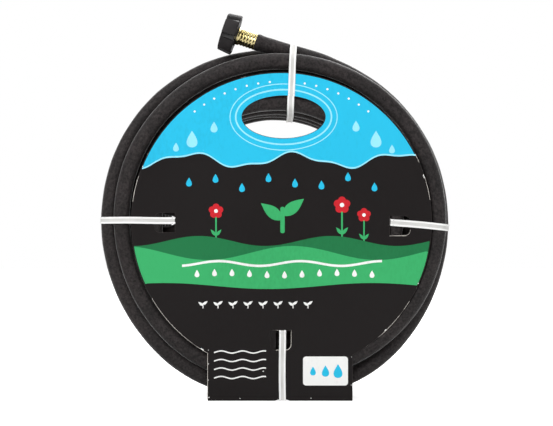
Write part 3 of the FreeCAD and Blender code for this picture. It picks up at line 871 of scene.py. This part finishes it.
# The channel that the bottom tie presses into the spine: middle, half width, depth, and its slopes.
CHANNEL_X, CHANNEL_HALF, CHANNEL_LIFT, CHANNEL_SLOPE, CHANNEL_HEIGHT = 2.4, 4.3, 1.15, 3.0, 7.0

# Half size and corner of a slot; the middle of each, and the direction from it to the card's middle.
SLOT_HALF_WIDTH, SLOT_HALF_HEIGHT, SLOT_ROUND = 10.7, 10.2, 6.0
SLOTS = {
    "left": (-115.3, 178.4, (1, 0)),
    "right": (119.9, 175.2, (-1, 0)),
    "bottom": (0.7, 60.8, (0, 1)),
}

# Each flap: the tie's place along its hinge, its lean in degrees before the tie, past it and under it.
FLAPS = {
    "left": (2.0, 46, 46, 84),
    "right": (-3.2, 46, 46, 84),
    "bottom": (-1.7, 66, 0, 78),
}
FLAP_ROWS, FLAP_COLUMNS = 8, 20
PRESS_HALF, PRESS_FADE = 4.2, 3.0           # how far either side of the tie it presses a flap
FLAP_DIP = 1.3              # how deep a flat flap is creased before it rests on the hose
BARE_RIM = [(-150, -123), (-52, -33), (8, 27), (160, 172)]     # angles where the disc's cut is bare

MIDDLE_FRONT = CARD_FRONT + CARD_THICKNESS / 2
FOLD_LENGTH = pi / 2 * FOLD_RADIUS
FOLD_TOP = FOLD_RADIUS + CARD_THICKNESS / 2     # height at which the front sheet starts to bend
SPINE_LENGTH = 2 * (-MIDDLE_FRONT - FOLD_RADIUS)


def folded(x, flat, out):
    """Place of a point of the flat sheet, out being its distance to the outside of the sheet's middle.

    flat is the height on the front sheet and goes on downwards past the folds to the back flap.
    """
    along = FOLD_TOP - flat - FOLD_LENGTH - SPINE_LENGTH / 2      # from the spine's middle
    past = abs(along) - SPINE_LENGTH / 2                          # from the spine's end
    turn = min(max(past / FOLD_RADIUS, 0.0), pi / 2)
    reach = FOLD_RADIUS + out
    y = math.copysign(SPINE_LENGTH / 2 + min(past, 0.0) + reach * sin(turn), along)
    z = FOLD_TOP - reach * cos(turn) + max(past - FOLD_LENGTH, 0.0)
    pressed = 1 - smooth((abs(x - CHANNEL_X) - CHANNEL_HALF) / CHANNEL_SLOPE)
    return Vector((x, y, z + CHANNEL_LIFT * pressed * (1 - smooth(z / CHANNEL_HEIGHT))))


FLAP_END = FOLD_TOP - 2 * FOLD_LENGTH - SPINE_LENGTH - (FLAP_HEIGHT - FOLD_TOP)


def card_outline():
    """Flat outline: disc, tab, spine and back flap."""
    ends = [math.atan2(-sqrt(DISC_RADIUS ** 2 - (side * TAB_HALF - DISC_X) ** 2), side * TAB_HALF - DISC_X)
            for side in (1, -1)]
    points = [polar(DISC_X, DISC_Z, DISC_RADIUS, turn) for turn in even_steps(ends[0], 2 * pi + ends[1], 150)]
    for side in (-1, 1):
        corner = [(side * (TAB_HALF - FLAP_CORNER + FLAP_CORNER * cos(turn)),
                   FLAP_END + FLAP_CORNER - FLAP_CORNER * sin(turn)) for turn in even_steps(0, pi / 2, 8)]
        points += corner if side < 0 else corner[::-1]
    return points


def slot_outline(x, z, inward):
    """Slot that is straight on the side nearer the card's middle and has round far corners."""
    points = []
    for side_x, side_z in ((1, 1), (-1, 1), (-1, -1), (1, -1)):
        corner = (x + side_x * SLOT_HALF_WIDTH, z + side_z * SLOT_HALF_HEIGHT)
        if side_x * inward[0] + side_z * inward[1] > 0:
            points.append(corner)
            continue
        start = math.atan2(side_z, side_x) - pi / 4
        points += [polar(corner[0] - side_x * SLOT_ROUND, corner[1] - side_z * SLOT_ROUND, SLOT_ROUND, turn)
                   for turn in even_steps(start, start + pi / 2, 6)]
    return points


class Region:
    """Polygon that answers quickly for points far from it."""

    def __init__(self, polygon):
        self.sides = list(zip(polygon, polygon[1:] + polygon[:1]))
        self.low = [min(values) for values in zip(*polygon)]
        self.high = [max(values) for values in zip(*polygon)]

    def holds(self, x, z):
        """Whether a point lies in the polygon."""
        found = False
        if self.low[0] <= x <= self.high[0] and self.low[1] <= z <= self.high[1]:
            for (x1, z1), (x2, z2) in self.sides:
                if (z1 > z) != (z2 > z) and x < x1 + (x2 - x1) * (z - z1) / (z2 - z1):
                    found = not found
        return found


def card_sheet():
    """Flat triangles of the card with the ink of each, and the flat points."""
    outline = card_outline()
    holes = [hole_oval(0.0)] + [slot_outline(*slot) for slot in SLOTS.values()]
    shapes = design()
    points, edges = [], []
    for polygon in [outline] + holes + [shape for _, shape in shapes]:
        start = len(points)
        points += [Vector(point) for point in polygon]
        edges += [(start + step, start + (step + 1) % len(polygon)) for step in range(len(polygon))]
    back_fold = FOLD_TOP - FOLD_LENGTH - SPINE_LENGTH
    heights = [FOLD_TOP + 6.0, FOLD_TOP + 3.0, *even_steps(FOLD_TOP, FOLD_TOP - FOLD_LENGTH, FOLD_STEPS),
               *even_steps(back_fold, back_fold - FOLD_LENGTH, FOLD_STEPS),
               back_fold - FOLD_LENGTH - 3.0, back_fold - FOLD_LENGTH - 6.0]
    lines = [((-TAB_HALF - 1, height), (TAB_HALF + 1, height)) for height in heights]
    lines += [((across, heights[0]), (across, heights[-1]))
              for across in even_steps(CHANNEL_X - CHANNEL_CUTS, CHANNEL_X + CHANNEL_CUTS, 12)]
    for line in lines:
        points += [Vector(point) for point in line]
        edges.append((len(points) - 2, len(points) - 1))
    flat, _, triangles, *_ = delaunay_2d_cdt(points, edges, [], 0, 1e-4)
    board = Region(outline)
    openings = [Region(hole) for hole in holes]
    printed = [(list(INKS).index(ink), Region(shape)) for ink, shape in shapes]
    kept, inks = [], []
    for triangle in triangles:
        x, z = sum((flat[index] for index in triangle), Vector((0, 0))) / 3
        if board.holds(x, z) and not any(opening.holds(x, z) for opening in openings):
            kept.append(tuple(triangle))
            inks.append(next((ink for ink, region in printed if region.holds(x, z)), 0))
    return flat, kept, inks


def bare_cut(x, z):
    """Whether the board's pale core shows at a place of its cut edge."""
    if z < TAB_TOP and abs(x) > TAB_HALF - 1:
        return x < 0
    if math.hypot(x - DISC_X, z - DISC_Z) < DISC_RADIUS - 2:
        lower_right = x > SLOTS["right"][0] and z < SLOTS["right"][1]
        return lower_right or z < SLOTS["bottom"][1] + 11 and x > SLOTS["bottom"][0] + 4
    degrees = math.degrees(math.atan2(z - DISC_Z, x - DISC_X))
    return any(first < degrees < last for first, last in BARE_RIM)


def flap_grid(x, z, inward, pressed, before, after, press):
    """Die-cut flap of a slot, hinged on its straight side and pushed in, most of all under the tie."""
    across = Vector((-inward[0], -inward[1]))
    along = Vector((across.y, -across.x))
    long_half, side_half = SLOT_HALF_WIDTH, SLOT_HALF_HEIGHT
    if inward[1]:
        long_half, side_half = side_half, long_half
    hinge = Vector((x, z)) - across * long_half
    grid = []
    for share in even_steps(0, 1, FLAP_ROWS):
        row = []
        for side in even_steps(0.3 - side_half, side_half - 0.3, FLAP_COLUMNS):
            corner_cut = max(0.0, abs(side) - (side_half - SLOT_ROUND)) / SLOT_ROUND
            length = 2 * long_half - 1.0 - SLOT_ROUND * (1 - sqrt(1 - corner_cut ** 2))
            under_tie = 1 - smooth((abs(side - pressed) - PRESS_HALF) / PRESS_FADE)
            lean = before + (after - before) * smooth((side - pressed) / PRESS_FADE)
            lean = radians(lean + (press - lean) * under_tie)
            creased = FLAP_DIP * min(2 * share, max(0.0, 3 - 4 * share)) * (1 - smooth(lean / 0.5))
            spot = hinge + along * side + across * (length * share * cos(lean) + 0.3)
            row.append(Vector((spot.x, MIDDLE_FRONT + length * share * sin(lean) + creased, spot.y)))
        grid.append(row)
    return grid


def sheet_from_grid(grid, thickness):
    """Points, two faces and rim of a closed thin sheet about a grid of points."""
    rows, columns = len(grid), len(grid[0])
    points, faces = [], []
    for side in (-0.5, 0.5):
        for row in range(rows):
            for column in range(columns):
                ahead = grid[min(row + 1, rows - 1)][column] - grid[max(row - 1, 0)][column]
                beside = grid[row][min(column + 1, columns - 1)] - grid[row][max(column - 1, 0)]
                points.append(grid[row][column] + ahead.cross(beside).normalized() * side * thickness)
    layer = rows * columns
    for corner in (row * columns + column for row in range(rows - 1) for column in range(columns - 1)):
        quad = (corner, corner + 1, corner + columns + 1, corner + columns)
        faces += [quad, tuple(layer + index for index in reversed(quad))]
    rim = [*range(columns), *range(2 * columns - 1, layer, columns),
           *range(layer - 2, layer - columns - 1, -1), *range(layer - 2 * columns, 0, -columns)]
    walls = [(here, following, layer + following, layer + here)
             for here, following in zip(rim, rim[1:] + rim[:1])]
    return points, faces, walls


def make_card():
    """Folded, printed card in one mesh: inks on the outside, bare board inside, pale cut edges."""
    flat, triangles, inks = card_sheet()
    used = sorted({index for triangle in triangles for index in triangle})
    number = {index: place for place, index in enumerate(used)}
    triangles = [tuple(number[index] for index in triangle) for triangle in triangles]
    flat = [flat[index] for index in used]
    directed = {(a, b) for triangle in triangles for a, b in zip(triangle, triangle[1:] + triangle[:1])}
    rim = [edge for edge in directed if edge[::-1] not in directed]
    lean = {}
    for a, b in rim:
        way = (flat[b] - flat[a]).normalized()
        for end in (a, b):
            lean[end] = lean.get(end, Vector((0, 0))) + Vector((way.y, -way.x))
    points = [folded(point.x, point.y, CARD_THICKNESS / 2) for point in flat]
    for index, point in enumerate(flat):
        if index in lean:
            point = point + lean[index].normalized() * EDGE_SLOPE
        points.append(folded(point.x, point.y, -CARD_THICKNESS / 2))
    count = len(flat)
    core, stained, backing = (len(INKS) + number for number in range(3))
    faces = triangles + [tuple(count + index for index in reversed(triangle)) for triangle in triangles]
    faces += [(a, b, count + b, count + a) for a, b in rim]
    finishes = inks + [backing] * len(triangles)
    finishes += [core if bare_cut(*flat[a]) else stained for a, _ in rim]
    for name, flap in FLAPS.items():
        flap_points, flap_faces, walls = sheet_from_grid(flap_grid(*SLOTS[name], *flap), CARD_THICKNESS)
        points, faces = join_parts([(points, faces), (flap_points, flap_faces + walls)])
        finishes += [0] * len(flap_faces) + [stained] * len(walls)
    materials = [*INKS.values(), CARD_CORE, STAINED_CORE, CARD_BACKING]
    add_piece("folded_card", (points, faces), materials, replaces=("display_card",),
              sharp=35, finishes=finishes)


make_card()

# ---------------- ties

# Each tie: direction from the coil's centre in degrees from +X towards +Z, its shift sideways, and
# the edges of the card that it goes over, as (distance from the coil's middle, depth).
TIES = {
    "tie_top": (87.2, -9.95, [(127.6, CARD_FRONT), (150.7, CARD_FRONT)]),
    "tie_left": (180.0, -2.6, [(100.2, CARD_FRONT), (143.5, CARD_FRONT)]),
    "tie_right": (-5.1, 10.9, [(115.4, CARD_FRONT), (156.3, CARD_FRONT)]),
    "tie_bottom": (-90.0, 7.4, [(107.6, CARD_FRONT), (176.85, CARD_FRONT), (176.85, CARD_BACK),
                                (126.0, CARD_BACK)]),
}
STRAP_HALF = 0.5            # half its thickness
STRAP_SIDE = 3.4            # half its width
# Half of the strap's section, from its middle to its edge: distance across, height above the middle.
STRAP_TOP = [(0.0, 0.02), (1.0, 0.03), (1.5, 0.12), (1.9, 0.42), (2.35, 0.56), (2.85, 0.56), (3.2, 0.42),
             (3.4, 0.1)]
# Two round edges over the wires, and a thin film between them.
STRAP_SECTION = [*((-across, height) for across, height in reversed(STRAP_TOP)), *STRAP_TOP[1:],
                 *((across, 0.06 - STRAP_HALF) for across in (3.0, 1.2, -1.2, -3.0))]
FILM_SIDE = 1.7             # half the film's width
WIRE_OFFSET, WIRE_RADIUS = 2.5, 0.28
SWAY, SWAY_LENGTH = 0.25, 13.0              # how the tie wanders sideways
CREASE_DEPTH = 0.75                         # share of its edges' height that is pressed flat there
CREASE_BEFORE, CREASE_HALF = 2.6, 0.9       # from the bend into the card, and half its length
END_START, END_LENGTH, END_TWISTS = 131.0, 21.0, 2.25
END_HALF = (3.0, 1.25)                      # half width and height of the two twisted ends
END_GAP, END_BEND = 2.2, 0.6                # from the strap's back to their middle, and its bend
END_SECTION = [(-1, -0.45), (-1, 0.45), (-0.7, 0.8), (0, 0.62), (0.7, 0.8), (1, 0.45), (1, -0.45),
               (0.7, -0.8), (0, -0.62), (-0.7, -0.8)]
END_WIRE_OFFSET = 1.9


def strand_sections(outward, sideways, shift):
    """Outlines of every stretch of hose that passes through a tie's plane."""
    found = []
    for before, after in zip(hose_line, hose_line[1:]):
        low, high = ((point - COIL_CENTRE).dot(sideways) - shift for point in (before, after))
        if low * high > 0 or low == high:
            continue
        spot = before.lerp(after, low / (low - high)) - COIL_CENTRE
        if spot.dot(outward) < 0:
            continue
        way = (after - before).normalized()
        slant = Vector((way.dot(outward), way.y))
        slant = slant.normalized() if slant.length > 1e-6 else Vector((1, 0))
        across = Vector((-slant.y, slant.x))
        middle = Vector((spot.dot(outward), spot.y))
        reach = HOSE_RADIUS + STRAP_HALF
        long_reach = reach / abs(way.dot(sideways))
        found += [middle + slant * cos(turn) * long_reach + across * sin(turn) * reach
                  for turn in full_turn(48)]
    return found


def strap_loop(outward, sideways, shift, edges):
    """Middle line of a tie pulled tight: the hull of all it holds, as (outward, depth) points."""
    spots = []
    for side in (-STRAP_SIDE, 0.0, STRAP_SIDE):
        spots += strand_sections(outward, sideways, shift + side)
    for edge in edges:
        spots += [Vector(polar(*edge, STRAP_HALF, turn)) for turn in full_turn(16)]
    loop = [spots[index] for index in convex_hull_2d(spots)]
    fine = []
    for here, following in zip(loop, loop[1:] + loop[:1]):
        count = max(1, round((following - here).length / 1.2))
        fine += [here.lerp(following, step / count) for step in range(count)]
    bend = edges[0][0]
    through = CARD_FRONT + CARD_THICKNESS + STRAP_HALF
    return [Vector((max(spot.x, bend), spot.y)) if bend - 5 < spot.x and spot.y < through else spot
            for spot in fine]


def loop_normals(loop):
    """Outward direction at each point of a closed loop."""
    normals = []
    middle = sum(loop, Vector((0, 0))) / len(loop)
    for index, here in enumerate(loop):
        way = (loop[(index + 1) % len(loop)] - loop[index - 1]).normalized()
        normal = Vector((way.y, -way.x))
        normals.append(normal if normal.dot(here - middle) > 0 else -normal)
    return normals


def make_tie(name, seed):
    """Strap, its twisted ends at the back, and the two wires inside it."""
    angle, shift, edges = TIES[name]
    turn = radians(angle)
    outward = Vector((cos(turn), 0, sin(turn)))
    sideways = Vector((-sin(turn), 0, cos(turn)))
    loop = strap_loop(outward, sideways, shift, edges)
    phase = random.Random(seed).uniform(0, 6)
    sways = [SWAY * sin(distance / SWAY_LENGTH + phase) for distance in travelled(loop)]
    stations = list(zip(loop, loop_normals(loop), sways))
    back = max(spot.y for spot in loop if abs(spot.x - END_START - END_LENGTH / 2) < 14)
    end_depth = back + STRAP_HALF + END_GAP

    def place(spot, across):
        return COIL_CENTRE + outward * spot.x + Y * spot.y + sideways * (shift + across)

    def in_twist(share, across, height, past=0.0):
        """Place in the section of the two ends, a share of the way along their twist."""
        roll = 2 * pi * END_TWISTS * smooth(share * 0.9)
        depth = end_depth + END_BEND * sin(share * 5) + across * sin(roll) + height * cos(roll)
        return place(Vector((END_START + END_LENGTH * share + past, depth)),
                     across * cos(roll) - height * sin(roll))

    rings = []
    for spot, normal, sway in stations:
        away = (spot.x - edges[0][0] - CREASE_BEFORE) / CREASE_HALF
        dent = CREASE_DEPTH * math.exp(-away ** 2) if spot.y < CARD_FRONT + 1 else 0.0
        rings.append([place(spot + normal * height * (1 - dent * (height > 0)), across + sway)
                      for across, height in STRAP_SECTION])
    strap = skin(rings, closed=True)
    sides = len(STRAP_SECTION)
    # The film faces get the greyer film material, which is painted shade in the hollow between the raised
    # edges.
    film = {index for index, (across, height) in enumerate(STRAP_SECTION)
            if abs(across) < FILM_SIDE and height > 0}
    finishes = [int(face[0] % sides in film and face[1] % sides in film) for face in strap[1]]
    rings = []
    for share in even_steps(0, 1, 44):
        squeeze = 1 - 0.3 * smooth(share * 4) + 0.15 * smooth(share * 5 - 4)
        rings.append([in_twist(share, across * END_HALF[0] * squeeze, height * END_HALF[1])
                      for across, height in END_SECTION])
    ends = skin(rings)
    add_piece(name + "_strap", join_parts([strap, ends]), [STRAP_EDGE, STRAP_FILM_SHADED],
              replaces=(name,), sharp=60, finishes=finishes + [0] * len(ends[1]))

    wires, tips = [], []
    for side in (-1, 1):
        rings = [[place(spot + normal * (0.08 + WIRE_RADIUS * sin(turn)),
                        side * WIRE_OFFSET + sway + WIRE_RADIUS * cos(turn)) for turn in full_turn(6)]
                 for spot, normal, sway in stations]
        wires.append(skin(rings, closed=True))
        tip = [in_twist(1.0, side * END_WIRE_OFFSET, 0.0, past) for past in (-2.0, 1.4)]
        tips.append(skin(tube_rings(tip, [WIRE_RADIUS] * 2, 8, Y)))
    add_piece(name + "_cores", join_parts(wires + tips), [STEEL],
              replaces=(name + "_wires",), sharp=50)


for number, tie in enumerate(TIES):
    make_tie(tie, number)

# ---------------- studio


def add_lamp(name, place, width, height, power):
    """Rectangular area lamp aimed at the coil."""
    data = bpy.data.lights.new(name, "AREA")
    data.shape = "RECTANGLE"
    data.size = width
    data.size_y = height
    data.energy = power
    lamp = add_object(name, data)
    lamp.location = place
    lamp.rotation_euler = (COIL_CENTRE * MM - Vector(place)).to_track_quat("-Z", "Y").to_euler()


def make_world():
    """White for the camera; for gloss a white backdrop behind the coil that dims towards the front."""
    world = bpy.data.worlds.new("studio")
    world.use_nodes = True
    tree = world.node_tree
    tree.nodes.clear()
    rays = tree.nodes.new("ShaderNodeLightPath")
    direction = tree.nodes.new("ShaderNodeTexCoord").outputs["Generated"]
    split = add_node(tree, "SeparateXYZ", {0: direction})
    spread = add_node(tree, "MapRange", {"Value": split.outputs["Y"], "From Min": -0.4, "From Max": 0.5,
                                         "To Min": 0.1, "To Max": 1.0})

    def background(strength):
        return add_node(tree, "Background", {"Strength": strength, "Color": grey(1.0)}).outputs[0]

    def switch(ray, otherwise, when):
        return add_node(tree, "MixShader", {0: rays.outputs[ray], 1: otherwise, 2: when}).outputs[0]

    white = background(1.0)
    light = switch("Is Glossy Ray", background(0.3), background(spread.outputs["Result"]))
    light = switch("Is Transmission Ray", light, white)
    add_node(tree, "OutputWorld", {"Surface": switch("Is Camera Ray", light, white)})
    scene.world = world


def make_floor():
    """White floor that keeps the object's shadow."""
    corners = [Vector((x, y, -0.15)) for x, y in ((-3000, -3000), (3000, -3000), (3000, 3000), (-3000, 3000))]
    mesh = mesh_of("floor", corners, [(0, 1, 2, 3)])
    material, tree, shader = new_material("floor_white", Base_Color=grey(0.85), Roughness=0.9,
                                          Specular_IOR_Level=0.1)
    rays = tree.nodes.new("ShaderNodeLightPath")
    seen = add_node(tree, "Math", {0: rays.outputs["Is Camera Ray"], 1: 0.8})
    seen.operation = "MULTIPLY"
    glow = add_node(tree, "Emission", {"Strength": seen.outputs[0]})
    both = add_node(tree, "AddShader", {0: shader.outputs[0], 1: glow.outputs[0]})
    feed(tree, tree.nodes["Material Output"], {"Surface": both.outputs[0]})
    mesh.materials.append(material)
    add_object("floor", mesh)


scene.view_settings.view_transform = "Standard"
make_world()
make_floor()
add_lamp("key", (-0.9, -1.3, 1.3), 0.8, 0.8, 21.0)
add_lamp("fill", (1.3, -1.3, 0.5), 1.0, 1.0, 7.5)
add_lamp("top", (0.2, -0.08, 1.65), 1.4, 0.3, 10.0)
add_lamp("back", (0.3, 1.4, 1.2), 1.0, 1.0, 20.0)
